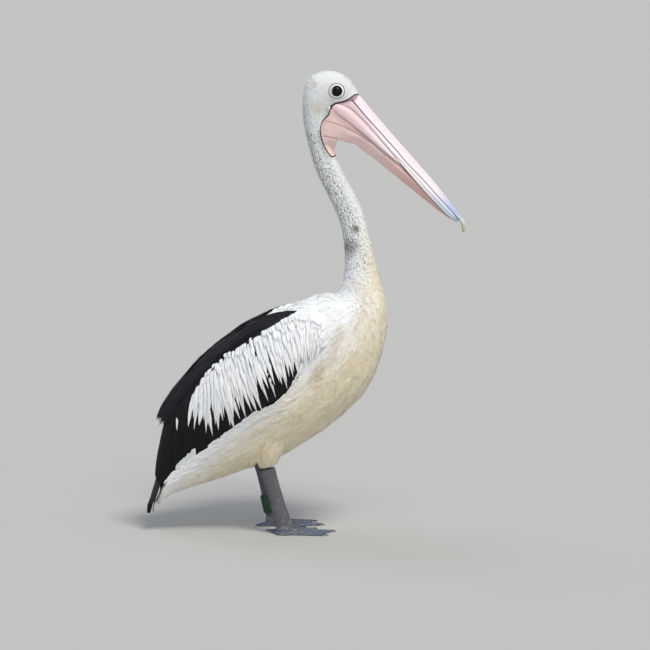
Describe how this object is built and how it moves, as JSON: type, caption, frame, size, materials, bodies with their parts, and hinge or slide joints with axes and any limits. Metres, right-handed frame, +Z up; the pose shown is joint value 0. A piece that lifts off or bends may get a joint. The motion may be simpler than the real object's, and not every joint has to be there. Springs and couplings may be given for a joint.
{
  "type": "standing australian pelican",
  "caption": "Life-size still pelican standing on webbed feet, long hooked bill held down, wings folded, with black flight feathers and a plain band on one leg.",
  "frame": {"origin": "on the floor, under the middle of the bounding box", "axes": "+X ahead, the way the bird looks and the bill points; +Y to the bird's left; +Z up"},
  "size_m": [0.7164, 0.2948, 1.0373],
  "materials": {
    "white_feather": "matte",
    "cream_feather": "matte",
    "black_feather": "matte",
    "pink_bill": "satin",
    "pink_pouch": "satin",
    "pale_nail": "satin",
    "grey_scute": "satin",
    "dark_claw": "gloss",
    "dark_eye": "polished",
    "green_band": "satin"
  },
  "bodies": {
    "root": {"trunk": "white_feather", "neck_lower": "white_feather", "neck_middle": "white_feather", "neck_upper": "white_feather", "head": "white_feather", "eye_right": "dark_eye", "eye_left": "dark_eye", "bill_upper": "pink_bill", "bill_lower": "pink_bill", "bill_nail": "pale_nail", "pouch": "pink_pouch", "wing_right": "black_feather", "wing_left": "black_feather", "coverts_right": "white_feather", "coverts_left": "white_feather", "scapulars_right": "black_feather", "scapulars_left": "black_feather", "tail": "black_feather", "thigh_right": "cream_feather", "thigh_left": "cream_feather", "shank_right": "grey_scute", "shank_left": "grey_scute", "foot_right": "grey_scute", "foot_left": "grey_scute", "leg_band": "green_band", "claw_outer_right": "dark_claw", "claw_middle_right": "dark_claw", "claw_inner_right": "dark_claw", "claw_hind_right": "dark_claw", "claw_outer_left": "dark_claw", "claw_middle_left": "dark_claw", "claw_inner_left": "dark_claw", "claw_hind_left": "dark_claw"}
  },
  "joints": []
}
